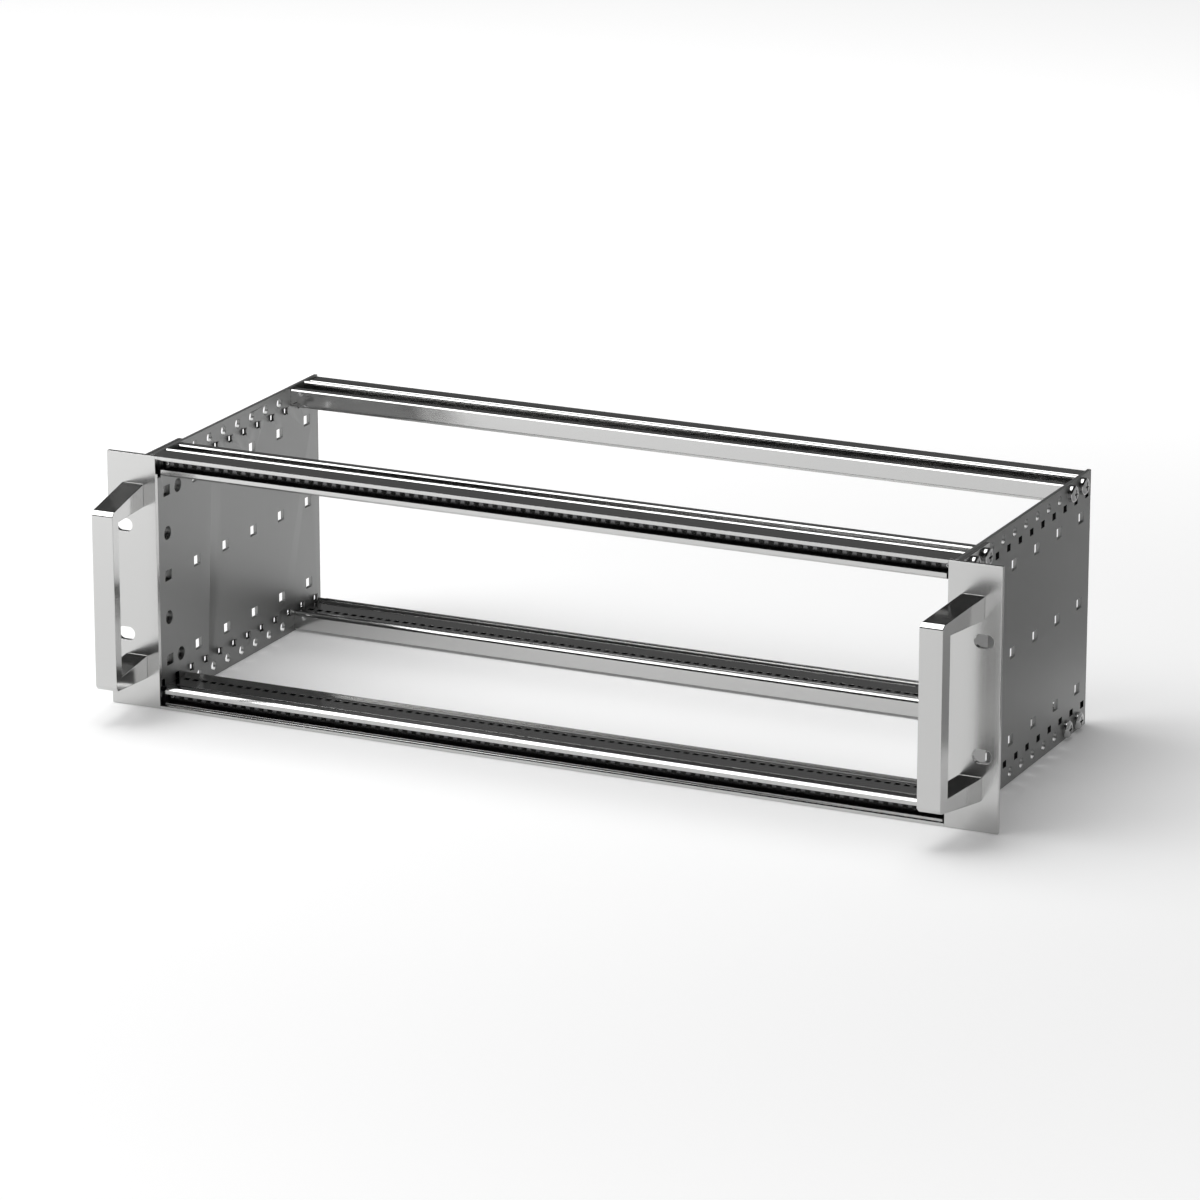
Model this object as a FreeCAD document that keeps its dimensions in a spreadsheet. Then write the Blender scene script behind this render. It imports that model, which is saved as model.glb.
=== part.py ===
# Subrack card cage: two side plates, four cross rails, two rack flanges with handles
import FreeCAD, Part
import math
import os
import Sketcher

# Frame: X along the rails, Y to the back, Z up, lengths in millimetres.
# The origin is the middle of the rack slot pattern, on the flange faces that lie on the rack.

doc = FreeCAD.newDocument("card_cage")
sheet = doc.addObject("Spreadsheet::Sheet", "Sizes")
aliases = []
nodes = []


class Size:
    """A length together with the sheet formula that gives it."""

    def __init__(self, text, value):
        self.text = text
        self.value = float(value)

    def joined(self, other, sign, value):
        text = other.text if isinstance(other, Size) else "%g" % other
        return Size("(%s %s %s)" % (self.text, sign, text), value)

    def __add__(self, other):
        return self.joined(other, "+", self.value + number(other))

    def __sub__(self, other):
        return self.joined(other, "-", self.value - number(other))

    def __mul__(self, other):
        return self.joined(other, "*", self.value * number(other))

    def __truediv__(self, other):
        return self.joined(other, "/", self.value / number(other))

    def __neg__(self):
        return Size("(0 - %s)" % self.text, -self.value)


def number(item):
    """The plain value of a size or a number."""
    return item.value if isinstance(item, Size) else float(item)


def size(alias, value, note):
    """Write one driving dimension into the sheet."""
    aliases.append(alias)
    row = len(aliases)
    sheet.set("A%d" % row, alias)
    sheet.set("B%d" % row, str(value))
    sheet.set("C%d" % row, note)
    sheet.setAlias("B%d" % row, alias)
    return Size("Sizes." + alias, value)


def whole(steps):
    """The whole number of steps that fit, with a hair of slack for rounding."""
    slack = 0.01
    return Size("floor(%s + %g)" % (steps.text, slack), math.floor(steps.value + slack))


zero = Size("0", 0)

# Rack frame
cage_height = size("cage_height", 132.55, "height of plates and flanges")
overall_width = size("overall_width", 482.6, "width over both flanges")
flange_ear = size("flange_ear", 25.4, "inner face of the side plate from the outer edge")
plate_thick = size("plate_thick", 2.0, "side plate sheet")
unit_gap = size("unit_gap", 0.8, "cage lower than three rack units")
rail_length = overall_width - flange_ear * 2
rack_unit = (cage_height + unit_gap) / 3
half_width = overall_width / 2
half_height = cage_height / 2
half_rail = rail_length / 2

# Rack flange
flange_width = size("flange_width", 27.5, "front of the flange")
flange_thick = size("flange_thick", 2.5, "flange and its leg")
leg_reach = size("leg_reach", 33.5, "leg behind the flange")
slot_inset = size("slot_inset", 8.75, "rack slots from the outer edge")
slot_edge = size("slot_edge", 37.7, "rack slots from the upper and lower edge")
slot_length = size("slot_length", 10.1, "rack slot along X")
slot_width = size("slot_width", 6.9, "rack slot along Z")

# Side plate holes
grid_edge = size("grid_edge", 12.62, "first hole column from the front edge")
grid_pitch = size("grid_pitch", 15.0, "hole columns apart")
grid_count = size("grid_count", 11, "hole columns")
screw_edge = size("screw_edge", 5.4, "rail screws from the upper and lower edge")
round_radius = size("round_radius", 2.5, "round holes along the edges")
lance_edge = size("lance_edge", 11.45, "lanced holes from the upper and lower edge")
lance_long = size("lance_long", 4.6, "lanced holes along Y")
lance_high = size("lance_high", 3.4, "lanced holes along Z")
tab_reach = size("tab_reach", 2.2, "lanced tabs stand inwards")
tab_thick = size("tab_thick", 1.0, "foot of the lanced tabs")
window_long = size("window_long", 6.5, "oblong holes along Y")
window_high = size("window_high", 5.4, "oblong holes along Z")
port_radius = size("port_radius", 3.5, "large round holes")
port_inset = size("port_inset", 24.0, "outer pair of large holes from the front edge")
plate_depth = grid_edge * 2 + grid_pitch * (grid_count - 1)
window_pitch = grid_pitch * 2
window_count = whole((grid_count + 1) / 2)

# Rail section: widths run from the jaws towards the middle of the cage,
# heights run from the outer edge of the cage inwards
rail_depth = size("rail_depth", 30.4, "jaws to inner face")
rail_drop = size("rail_drop", 0.9, "outer faces below the plate edges")
rail_inner = size("rail_inner", 9.7, "inner face of the skin")
skin_outer = size("skin_outer", 8.3, "groove floor")
groove_start = size("groove_start", 15.4, "front wall of the groove")
groove_end = size("groove_end", 24.9, "rear wall of the groove")
rail_bevel = size("rail_bevel", 0.6, "bevels behind the groove")
rim_radius = size("rim_radius", 1.5, "round rim before the groove, as high as the dip before it")
lip_thick = size("lip_thick", 1.5, "lip plate")
lip_reach = size("lip_reach", 2.5, "lip before the jaws")
lip_back = size("lip_back", 9.4, "raised strip behind the jaws")
lip_step = size("lip_step", 0.6, "slope behind the raised strip")
jaw_thick = size("jaw_thick", 1.8, "jaws of the slot")
jaw_outer = size("jaw_outer", 2.6, "edge of the outer jaw")
jaw_inner = size("jaw_inner", 7.4, "edge of the inner jaw")
jaw_cut = size("jaw_cut", 3.9, "jaws end before the side plates")
slot_back = size("slot_back", 7.7, "back wall of the slot")
toe_height = size("toe_height", 10.6, "thick toe under the inner jaw")
toe_bevel = size("toe_bevel", 1.2, "bevel of the toe")
toe_flat = size("toe_flat", 2.1, "toe behind the jaw face")
toe_run = size("toe_run", 0.4, "slope behind the toe")
bead_radius = size("bead_radius", 2.4, "bead along the inner edge")
bead_height = size("bead_height", 10.7, "top of the bead")
bead_foot = size("bead_foot", 26.0, "foot of the bead")
score_start = size("score_start", 8.0, "score line in the skin")
score_width = size("score_width", 1.2, "score line")
score_depth = size("score_depth", 0.5, "score line")
bore_radius = size("bore_radius", 2.05, "screw channels")
guide_pitch = size("guide_pitch", 5.08, "square holes for the card guides")
guide_hole = size("guide_hole", 2.9, "side of a square hole")
guide_centre = size("guide_centre", 20.3, "square holes behind the jaws")
guide_count = whole(rail_length / guide_pitch) - 1
guide_last = guide_pitch * (guide_count - 1) / 2

# Tapped strips
strip_gap = size("strip_gap", 2.5, "tapped strip from the side plates")
strip_high = size("strip_high", 6.4, "tapped strip")
strip_thick = size("strip_thick", 2.5, "tapped strip")
strip_centre = size("strip_centre", 5.025, "tapped holes from the outer edge")
strip_hole = size("strip_hole", 1.2, "radius of the tapped holes")
pin_radius = size("pin_radius", 1.15, "set screw")
pin_length = size("pin_length", 2.9, "set screw")

# Handles
handle_wide = size("handle_wide", 12.0, "handle along X")
handle_inset = size("handle_inset", 20.55, "inner side of the foot from the outer edge")
handle_lean = size("handle_lean", 5.05, "handle leans inwards")
handle_reach = size("handle_reach", 40.0, "front of the handle before the flange")
handle_edge = size("handle_edge", 15.275, "foot from the upper and lower edge of the cage")
handle_taper = size("handle_taper", 4.4, "half height lost towards the front")
handle_bevel = size("handle_bevel", 2.0, "bevel along the front")
handle_bar = size("handle_bar", 7.5, "bar thickness")
handle_arm = size("handle_arm", 12.0, "height of the arms at the foot")
grip_flare = size("grip_flare", 1.0, "opening half height gained towards the bar")
arm_screw = size("arm_screw", 6.0, "handle screws from the ends of the foot")
handle_bore = size("handle_bore", 2.05, "threaded holes in the handle")
handle_side = half_width - handle_inset
handle_half = half_height - handle_edge
handle_screw_rise = handle_half - arm_screw

# Pan head screws
head_radius = size("head_radius", 4.4, "screw head")
head_height = size("head_height", 3.0, "screw head")
shank_radius = size("shank_radius", 2.0, "screw shank")
clear_radius = size("clear_radius", 2.2, "screw holes in the flange")
rail_screw_length = size("rail_screw_length", 14.0, "shank under the head")
handle_screw_length = size("handle_screw_length", 10.0, "shank under the head")

doc.recompute()


def new_body(name):
    """A named body that becomes one node."""
    body = doc.addObject("PartDesign::Body", name)
    body.Label = name
    body.AllowCompound = True
    nodes.append(body)
    return body


def part_of_origin(body, role):
    """One plane or axis of the body's own origin."""
    return [item for item in body.Origin.OriginFeatures if item.Role == role][0]


def new_sketch(body, role, offset=None):
    """An empty sketch on an origin plane of the body, or at an offset from it."""
    sketch = body.newObject("Sketcher::SketchObject", "outline")
    sketch.AttachmentSupport = [(part_of_origin(body, role), "")]
    sketch.MapMode = "FlatFace"
    if offset:
        sketch.AttachmentOffset = FreeCAD.Placement(
            FreeCAD.Vector(0, 0, offset.value), FreeCAD.Rotation())
        sketch.setExpression("AttachmentOffset.Base.z", offset.text)
    return sketch


def hold(sketch, kind, geometry, end, length):
    """Tie one coordinate of a point to a size."""
    rule = Sketcher.Constraint(kind, -1, 1, geometry, end, length.value)
    index = sketch.addConstraint(rule)
    sketch.setExpression("Constraints[%d]" % index, length.text)


def hold_point(sketch, geometry, end, across, up):
    """Tie a point to the sketch origin."""
    hold(sketch, "DistanceX", geometry, end, across)
    hold(sketch, "DistanceY", geometry, end, up)


def draw_loop(sketch, corners, centres=None):
    """Closed loop through the corners, with arcs where a centre is given."""
    centres = centres or {}
    first = sketch.GeometryCount
    spots = [FreeCAD.Vector(a.value, b.value, 0) for a, b in corners]
    ends = []
    for index, start in enumerate(spots):
        stop = spots[(index + 1) % len(spots)]
        if index not in centres:
            sketch.addGeometry(Part.LineSegment(start, stop), False)
            ends.append((1, 2))
            continue
        middle = FreeCAD.Vector(centres[index][0].value, centres[index][1].value, 0)
        turn = (start - middle).cross(stop - middle).z > -1e-6
        low, high = (start, stop) if turn else (stop, start)
        circle = Part.Circle(middle, FreeCAD.Vector(0, 0, 1), (start - middle).Length)
        arc = Part.ArcOfCircle(circle, circle.parameter(low), circle.parameter(high))
        sketch.addGeometry(arc, False)
        ends.append((1, 2) if turn else (2, 1))
    for index, corner in enumerate(corners):
        after = (index + 1) % len(corners)
        joint = Sketcher.Constraint(
            "Coincident", first + index, ends[index][1], first + after, ends[after][0])
        sketch.addConstraint(joint)
        hold_point(sketch, first + index, ends[index][0], corner[0], corner[1])
    for index, centre in centres.items():
        chord = spots[(index + 1) % len(spots)] - spots[index]
        if abs(chord.y) > abs(chord.x):
            hold(sketch, "DistanceX", first + index, 3, centre[0])
        else:
            hold(sketch, "DistanceY", first + index, 3, centre[1])


def draw_box(sketch, low_across, high_across, low_up, high_up):
    """A rectangle between two corners."""
    draw_loop(sketch, [(low_across, low_up), (high_across, low_up),
                       (high_across, high_up), (low_across, high_up)])


def draw_centred_box(sketch, across, up, long, high):
    """A rectangle around its middle."""
    draw_box(sketch, across - long / 2, across + long / 2, up - high / 2, up + high / 2)


def draw_round(sketch, across, up, radius):
    """A round hole or pin drawn with a few flat sides."""
    sides = 8
    corners = []
    for step in range(sides):
        angle = 2 * math.pi * (step + 0.5) / sides
        corners.append((across + radius * math.cos(angle), up + radius * math.sin(angle)))
    draw_loop(sketch, corners)


def draw_oblong(sketch, across, up, long, high):
    """A slot with round ends along the first sketch axis."""
    reach = (long - high) / 2
    left = across - reach
    right = across + reach
    corners = [(left, up - high / 2), (right, up - high / 2),
               (right, up + high / 2), (left, up + high / 2)]
    draw_loop(sketch, corners, {1: (right, up), 3: (left, up)})


def pad(body, sketch, length, both_ways=False, backwards=False):
    """Extrude a sketch along its normal, both ways or against it."""
    feature = body.newObject("PartDesign::Pad", "pad")
    feature.Profile = sketch
    feature.SideType = "Symmetric" if both_ways else "One side"
    feature.Reversed = backwards
    feature.Length = length.value
    feature.setExpression("Length", length.text)
    body.Tip = feature
    doc.recompute()
    return feature


def cut_through(body, sketch):
    """Cut a sketch through the whole body."""
    before = body.Shape.Volume
    feature = body.newObject("PartDesign::Pocket", "cut")
    feature.Profile = sketch
    feature.Type = "ThroughAll"
    feature.SideType = "Symmetric"
    body.Tip = feature
    doc.recompute()
    if body.Shape.Volume >= before - 1e-6:
        raise RuntimeError("a cut in %s takes nothing away" % body.Label)
    return feature


def repeat(body, feature, axis, step, count):
    """Repeat a feature along an axis of the body's origin."""
    pattern = body.newObject("PartDesign::LinearPattern", "row")
    pattern.Originals = [feature]
    pattern.Direction = (part_of_origin(body, axis), [""])
    pattern.Mode = "Spacing"
    pattern.Offset = step.value
    pattern.setExpression("Offset", step.text)
    body.Tip = pattern
    pattern.Occurrences = int(number(count))
    if isinstance(count, Size):
        pattern.setExpression("Occurrences", count.text)
    doc.recompute()
    return pattern


def place(body, across, back, up, axis=None):
    """Turn a body halfway round an axis and move it to its place."""
    turn = FreeCAD.Rotation()
    if axis:
        turn = FreeCAD.Rotation(FreeCAD.Vector(*axis), 180)
    body.Placement = FreeCAD.Placement(
        FreeCAD.Vector(across.value, back.value, up.value), turn)
    body.setExpression("Placement.Base.x", across.text)
    body.setExpression("Placement.Base.y", back.text)
    body.setExpression("Placement.Base.z", up.text)


ABOUT_X = (1, 0, 0)
ABOUT_Y = (0, 1, 0)
ABOUT_Z = (0, 0, 1)
PLANE_XY = "XY_Plane"
PLANE_XZ = "XZ_Plane"
PLANE_YZ = "YZ_Plane"


def side_plate(name, left):
    """Flat side wall with its rows of punched holes."""
    body = new_body(name)
    sketch = new_sketch(body, PLANE_YZ)
    draw_box(sketch, zero, plate_depth, -half_height, half_height)
    pad(body, sketch, plate_thick)

    sketch = new_sketch(body, PLANE_YZ)
    for rise in (rack_unit / 2, -rack_unit / 2):
        draw_round(sketch, grid_edge, rise, port_radius)
    for rise in (rack_unit, -rack_unit):
        draw_round(sketch, port_inset, rise, port_radius)
    cut_through(body, sketch)

    sketch = new_sketch(body, PLANE_YZ)
    for rise in (half_height - screw_edge, screw_edge - half_height):
        draw_round(sketch, grid_edge, rise, round_radius)
    repeat(body, cut_through(body, sketch), "Y_Axis", grid_pitch, grid_count)

    sketch = new_sketch(body, PLANE_YZ)
    for rise in (half_height - lance_edge, lance_edge - half_height):
        draw_centred_box(sketch, grid_edge - grid_pitch / 2, rise, lance_long, lance_high)
    repeat(body, cut_through(body, sketch), "Y_Axis", grid_pitch, grid_count + 1)

    root = grid_edge - grid_pitch / 2 - lance_long / 2
    tip = root + lance_long
    if left:
        root, tip = tip, root
    for rise in (half_height - lance_edge, lance_edge - half_height):
        sketch = new_sketch(body, PLANE_XY, rise)
        draw_loop(sketch, [(zero, root), (tab_thick, root), (-tab_reach, tip)])
        tab = pad(body, sketch, lance_high, True)
        repeat(body, tab, "Y_Axis", grid_pitch, grid_count + 1)

    sketch = new_sketch(body, PLANE_YZ)
    for rise in (-rack_unit, zero, rack_unit):
        draw_centred_box(sketch, grid_edge, rise, window_long, window_high)
    repeat(body, cut_through(body, sketch), "Y_Axis", window_pitch, window_count)

    if left:
        place(body, -half_rail, zero, zero, ABOUT_Y)
    else:
        place(body, half_rail, zero, zero)


def rack_flange(name, left):
    """Flange in front and a leg outside the side plate, with slots and screw holes."""
    body = new_body(name)
    inner = half_width - flange_width
    leg = half_rail + plate_thick
    sketch = new_sketch(body, PLANE_XY)
    draw_loop(sketch, [(inner, -flange_thick), (half_width, -flange_thick), (half_width, zero),
                       (leg + flange_thick, zero), (leg + flange_thick, leg_reach),
                       (leg, leg_reach), (leg, zero), (inner, zero)])
    pad(body, sketch, cage_height, True)

    sketch = new_sketch(body, PLANE_XZ)
    for rise in (slot_edge - half_height, half_height - slot_edge):
        draw_oblong(sketch, half_width - slot_inset, rise, slot_length, slot_width)
    for rise in (-handle_screw_rise, handle_screw_rise):
        draw_round(sketch, handle_side + handle_wide / 2, rise, clear_radius)
    cut_through(body, sketch)

    sketch = new_sketch(body, PLANE_YZ)
    for rise in (screw_edge - half_height, half_height - screw_edge):
        for column in (grid_edge, grid_edge + grid_pitch):
            draw_round(sketch, column, rise, clear_radius)
    cut_through(body, sketch)

    if left:
        place(body, zero, zero, zero, ABOUT_Y)
    else:
        place(body, zero, zero, zero)


def handle(name, left):
    """Solid U handle that leans towards the middle of the cage."""
    body = new_body(name)
    foot = -flange_thick
    front = foot - handle_reach
    bar = front + handle_bar
    tip = handle_half - handle_taper
    near = handle_side - handle_lean
    far = handle_side + handle_wide
    sketch = new_sketch(body, PLANE_XY)
    draw_loop(sketch, [(near, front), (far - handle_lean, front), (far, foot),
                       (handle_side, foot)])
    pad(body, sketch, handle_half * 2, True)

    sketch = new_sketch(body, PLANE_YZ)
    grip = handle_half - handle_arm
    draw_loop(sketch, [(foot, -grip), (foot, grip), (bar, grip + grip_flare),
                       (bar, -(grip + grip_flare))])
    cut_through(body, sketch)

    sketch = new_sketch(body, PLANE_YZ)
    beyond = front - handle_bevel
    for sign in (1, -1):
        draw_loop(sketch, [(foot, handle_half * sign), (front + handle_bevel, tip * sign),
                           (front, (tip - handle_bevel) * sign),
                           (beyond, (tip - handle_bevel) * sign),
                           (beyond, (handle_half + handle_bevel) * sign),
                           (foot, (handle_half + handle_bevel) * sign)])
    cut_through(body, sketch)

    sketch = new_sketch(body, PLANE_XZ)
    for rise in (-handle_screw_rise, handle_screw_rise):
        draw_round(sketch, handle_side + handle_wide / 2, rise, handle_bore)
    before = body.Shape.Volume
    feature = body.newObject("PartDesign::Pocket", "bores")
    feature.Profile = sketch
    feature.Length = (flange_thick + handle_screw_length).value
    feature.setExpression("Length", (flange_thick + handle_screw_length).text)
    feature.Reversed = True
    body.Tip = feature
    doc.recompute()
    if body.Shape.Volume >= before - 1e-6:
        raise RuntimeError("the bores in %s take nothing away" % name)

    if left:
        place(body, zero, zero, zero, ABOUT_Y)
    else:
        place(body, zero, zero, zero)


def cross_rail(name, lip, guides, axis, back, up):
    """Extruded rail with slot, groove, screw channels and, where guides stand, square holes."""
    body = new_body(name)
    corners = [(zero, lip_thick)]
    if lip:
        corners += [(zero, zero), (lip_back, zero)]
    else:
        corners += [(lip_thick - rail_drop, rail_drop), (lip_back, rail_drop)]
    corners += [(lip_back + lip_step, rim_radius)]
    centres = {len(corners): (groove_start - rim_radius, rim_radius)}
    corners += [(groove_start - rim_radius * 2, rim_radius), (groove_start, rim_radius),
                (groove_start, skin_outer), (groove_end, skin_outer),
                (groove_end, rail_drop + rail_bevel), (groove_end + rail_bevel, rail_drop),
                (rail_depth - rail_bevel, rail_drop), (rail_depth, rail_drop + rail_bevel)]
    centres[len(corners)] = (rail_depth - bead_radius, bead_height - bead_radius)
    corners += [(rail_depth, bead_height - bead_radius),
                (rail_depth - bead_radius, bead_height), (bead_foot, rail_inner),
                (score_start + score_width, rail_inner),
                (score_start + score_width, rail_inner - score_depth),
                (score_start, rail_inner - score_depth), (score_start, rail_inner),
                (toe_flat + toe_run, rail_inner), (toe_flat, toe_height),
                (jaw_thick, toe_height), (jaw_thick, skin_outer), (slot_back, skin_outer),
                (slot_back, lip_thick)]
    sketch = new_sketch(body, PLANE_YZ)
    draw_loop(sketch, corners, centres)
    pad(body, sketch, rail_length, True)

    sketch = new_sketch(body, PLANE_YZ)
    draw_box(sketch, zero, jaw_thick, lip_thick, jaw_outer)
    draw_loop(sketch, [(zero, jaw_inner), (jaw_thick, jaw_inner), (jaw_thick, toe_height),
                       (toe_bevel, toe_height), (zero, toe_height - toe_bevel)])
    pad(body, sketch, rail_length - jaw_cut * 2, True)

    if lip:
        sketch = new_sketch(body, PLANE_YZ)
        draw_box(sketch, -lip_reach, zero, zero, lip_thick)
        pad(body, sketch, overall_width - flange_width * 2, True)

    sketch = new_sketch(body, PLANE_YZ)
    for column in (grid_edge, grid_edge + grid_pitch):
        draw_round(sketch, column, screw_edge, bore_radius)
    cut_through(body, sketch)

    if guides:
        sketch = new_sketch(body, PLANE_XY)
        draw_centred_box(sketch, -guide_last, guide_centre, guide_hole, guide_hole)
        repeat(body, cut_through(body, sketch), "X_Axis", guide_pitch, guide_count)

    place(body, zero, back, up, axis)


def thread_strip(name, axis, up):
    """Flat tapped strip that lies against the back wall of the slot."""
    body = new_body(name)
    sketch = new_sketch(body, PLANE_YZ)
    draw_centred_box(sketch, slot_back - strip_thick / 2, strip_centre, strip_thick, strip_high)
    pad(body, sketch, rail_length - strip_gap * 2, True)
    sketch = new_sketch(body, PLANE_XZ)
    for across in (-guide_last, guide_last):
        draw_round(sketch, across, strip_centre, strip_hole)
    cut_through(body, sketch)
    place(body, zero, zero, up, axis)


def strip_screws(name, axis, up):
    """Set screws in the end holes of a strip."""
    body = new_body(name)
    sketch = new_sketch(body, PLANE_XZ, -slot_back)
    for across in (-guide_last, guide_last):
        draw_round(sketch, across, strip_centre, pin_radius)
    pad(body, sketch, pin_length)
    place(body, zero, zero, up, axis)


def rail_screws(name, seat, column, rise):
    """Two screws at each end of a rail."""
    body = new_body(name)
    features = []
    for radius, length, inwards in ((head_radius, head_height, False),
                                    (shank_radius, rail_screw_length, True)):
        sketch = new_sketch(body, PLANE_YZ, seat)
        for start in (column, column + grid_pitch):
            draw_round(sketch, start, rise, radius)
        features.append(pad(body, sketch, length, False, inwards))
    mirrored = body.newObject("PartDesign::Mirrored", "other_end")
    mirrored.Originals = features
    mirrored.MirrorPlane = (part_of_origin(body, PLANE_YZ), [""])
    body.Tip = mirrored
    doc.recompute()


def handle_screws(name, rise):
    """Screws from behind both flanges into the handles."""
    body = new_body(name)
    side = handle_side + handle_wide / 2
    for radius, length, behind in ((head_radius, head_height, True),
                                   (shank_radius, handle_screw_length, False)):
        sketch = new_sketch(body, PLANE_XZ)
        for across in (-side, side):
            draw_round(sketch, across, rise, radius)
        pad(body, sketch, length, False, behind)


side_plate("side_plate_left", True)
side_plate("side_plate_right", False)
rack_flange("rack_flange_left", True)
rack_flange("rack_flange_right", False)
handle("handle_left", True)
handle("handle_right", False)

cross_rail("front_rail_bottom", True, True, None, zero, -half_height)
cross_rail("front_rail_top", True, False, ABOUT_Y, zero, half_height)
cross_rail("rear_rail_bottom", False, True, ABOUT_Z, plate_depth, -half_height)
cross_rail("rear_rail_top", False, False, ABOUT_X, plate_depth, half_height)

thread_strip("thread_strip_bottom", None, -half_height)
thread_strip("thread_strip_top", ABOUT_Y, half_height)
strip_screws("strip_screws_bottom", None, -half_height)
strip_screws("strip_screws_top", ABOUT_Y, half_height)

screw_level = half_height - screw_edge
front_seat = half_rail + plate_thick + flange_thick
rear_seat = half_rail + plate_thick
rear_column = grid_edge + grid_pitch * (grid_count - 2)
rail_screws("front_screws_top", front_seat, grid_edge, screw_level)
rail_screws("front_screws_bottom", front_seat, grid_edge, -screw_level)
rail_screws("rear_screws_top", rear_seat, rear_column, screw_level)
rail_screws("rear_screws_bottom", rear_seat, rear_column, -screw_level)
handle_screws("handle_screws_top", handle_screw_rise)
handle_screws("handle_screws_bottom", -handle_screw_rise)

doc.recompute()
for item in doc.Objects:
    if "Invalid" in item.State or "Error" in item.State:
        raise RuntimeError("%s could not be computed" % item.Label)

os.makedirs("parts", exist_ok=True)
for body in nodes:
    if body.Shape.isNull() or not body.Shape.isValid():
        raise RuntimeError("%s has no valid shape" % body.Label)
    body.Shape.exportStep("parts/%s.step" % body.Label)
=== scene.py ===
"""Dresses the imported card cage: machined edges, tapped strips, screws and satin metal."""
import math

import bmesh
import bpy
from bpy.props import FloatProperty, FloatVectorProperty, IntProperty
from mathutils import Matrix, Vector


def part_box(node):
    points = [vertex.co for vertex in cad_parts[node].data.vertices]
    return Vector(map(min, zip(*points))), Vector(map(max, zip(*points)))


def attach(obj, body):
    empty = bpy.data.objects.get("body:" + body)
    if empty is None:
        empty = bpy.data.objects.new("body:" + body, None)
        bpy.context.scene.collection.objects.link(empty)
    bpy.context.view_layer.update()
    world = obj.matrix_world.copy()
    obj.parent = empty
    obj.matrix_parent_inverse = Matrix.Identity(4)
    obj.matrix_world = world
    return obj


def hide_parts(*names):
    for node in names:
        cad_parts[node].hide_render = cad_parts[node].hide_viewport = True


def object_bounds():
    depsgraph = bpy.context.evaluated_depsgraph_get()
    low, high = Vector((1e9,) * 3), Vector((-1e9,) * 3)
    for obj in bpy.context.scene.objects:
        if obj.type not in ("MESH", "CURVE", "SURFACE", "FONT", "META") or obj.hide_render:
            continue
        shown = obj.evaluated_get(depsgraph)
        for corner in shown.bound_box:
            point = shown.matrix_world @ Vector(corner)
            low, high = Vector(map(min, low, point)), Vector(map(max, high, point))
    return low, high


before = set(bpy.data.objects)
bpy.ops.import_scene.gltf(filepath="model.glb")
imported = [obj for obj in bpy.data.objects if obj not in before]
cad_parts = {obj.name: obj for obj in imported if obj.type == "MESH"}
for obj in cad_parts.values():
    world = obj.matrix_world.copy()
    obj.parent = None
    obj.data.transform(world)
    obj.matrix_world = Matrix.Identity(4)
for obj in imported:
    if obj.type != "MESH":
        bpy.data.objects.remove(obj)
CAD_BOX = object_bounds()

bl_info = {
    "name": "Card cage",
    "version": (1, 0, 0),
    "blender": (4, 5, 0),
    "location": "View3D > Sidebar > Card cage",
    "description": "Adds the fine parts, finishes and studio of a subrack card cage",
    "category": "Object",
}

MM = 0.001
SIDES = ("left", "right")
LEVELS = ("top", "bottom")
HALF_HEIGHT = (CAD_BOX[1].z - CAD_BOX[0].z) / 2
UNIT_PLAY = 0.8 * MM
RACK_UNIT = (2 * HALF_HEIGHT + UNIT_PLAY) / 3
OTHER_LEVEL = Matrix.Rotation(math.pi, 4, "Y")

# meshes: what counts as one point, one plane and a sharp edge
SAME_POINT = 1e-6
SAME_PLANE = math.radians(0.5)
SHARP_ANGLE = math.radians(32)
ON_FACE = 1e-7

# side plates: the punched holes, and how faces of the lanced openings and the rails' guide holes
# are told apart for the painted shade
HOLE_RADIUS = 2.5 * MM
PORT_RADIUS = 3.5 * MM
PORT_INSET = 24.0 * MM
HOLE_PLAY = 0.02 * MM
HOLE_BAND = (0.85, 1.02)
PLATE_THICK = 2.0 * MM
LANCE_SHADE_BAND = 1.8 * MM
LANCE_SHADE_WALL = 12 * MM * MM
TAB_TIP = 1.0 * MM
TAB_ROOT = 0.5 * MM
GUIDE_SHADE_WALL = 16 * MM * MM
UPRIGHT = 0.3

# strips and screws
STRIP_SIDES = 16
STRIP_SINK = 0.3 * MM
SHANK_RADIUS = 2.0 * MM
RAIL_SHANK = 14.0 * MM
HANDLE_SHANK = 10.0 * MM
HANDLE_SCREW_SIDE = CAD_BOX[1].x - 14.55 * MM
SET_SCREW_SIDES = 24
SET_SCREW_RADIUS = 1.15 * MM
SET_SCREW_EDGE = 0.15 * MM
SOCKET_HALF = 0.6 * MM

# finishes: the direction of the fine lines, and name, colour, roughness, lines, line depth
LINES_ALONG_X = (6.0, 1400.0, 1400.0)
LINES_ALONG_Z = (1400.0, 1400.0, 6.0)
FINISHES = (
    ("rail_metal", "aluminium", 0.14, LINES_ALONG_X, 0.000001),
    ("flange_metal", "aluminium", 0.2, LINES_ALONG_Z, 0.000003),
    ("handle_metal", "aluminium", 0.14, LINES_ALONG_Z, 0.000002),
    ("plate_metal", "sheet", 0.42, LINES_ALONG_Z, 0.000003),
    # painted shade: near-black metal on the walls of the lanced openings and guide holes,
    # standing for their deep shadow; real punched walls are bare metal
    ("painted_shade_metal", "cut", 0.5, LINES_ALONG_Z, 0.000003),
    ("screw_metal", "steel", 0.16, (600.0, 600.0, 600.0), 0.000003),
    # painted shade: the tapped strips are darkened to stand for the shadow in the rail recesses
    ("strip_painted_shade_metal", "strip", 0.22, (6.0, 900.0, 900.0), 0.000003),
)
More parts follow.
